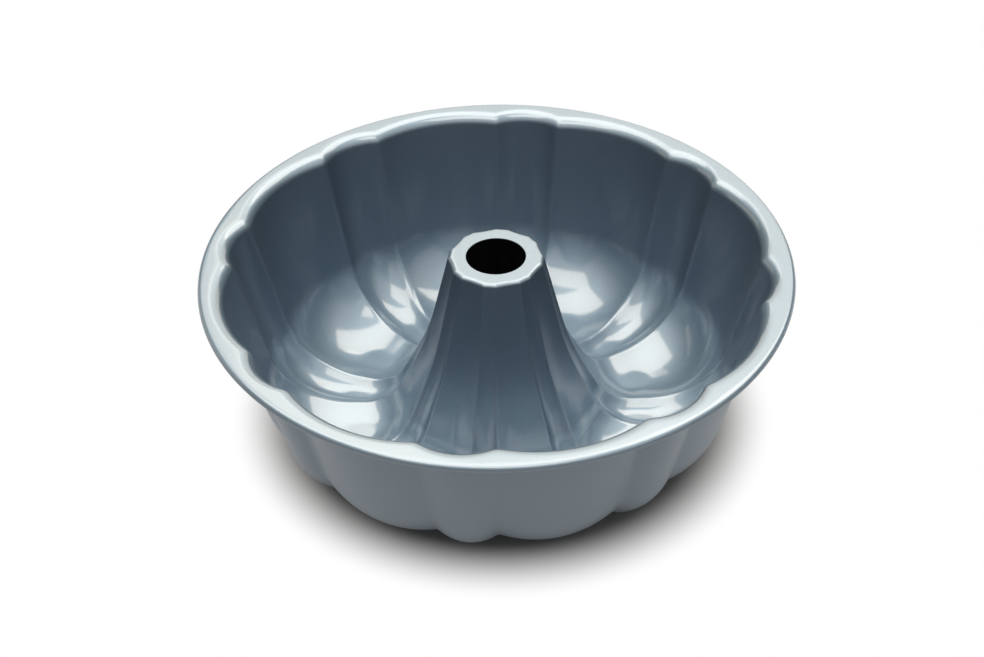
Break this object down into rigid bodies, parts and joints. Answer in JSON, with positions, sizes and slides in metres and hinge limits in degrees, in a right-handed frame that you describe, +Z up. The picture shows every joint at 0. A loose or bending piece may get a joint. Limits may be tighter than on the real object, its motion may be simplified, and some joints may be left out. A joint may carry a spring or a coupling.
{
  "type": "fluted tube pan",
  "caption": "Round sheet-steel cake pan with a fluted wall and floor, a flat rim with a rolled wired edge, and an open tapering fluted tube in the middle.",
  "frame": {"origin": "on the pan's axis, on the surface that it stands on", "axes": "+Z up along the axis of the tube, +X through the middle of a narrow flute"},
  "size_m": [0.267, 0.267, 0.0916],
  "materials": {
    "coated_steel": "glossy blue-grey non-stick coat inside, satin grey outside",
    "wire_steel": "bare drawn wire"
  },
  "bodies": {
    "root": {"fluted_bowl": "coated_steel", "centre_tube": "coated_steel", "rim_wire": "wire_steel"}
  },
  "joints": []
}
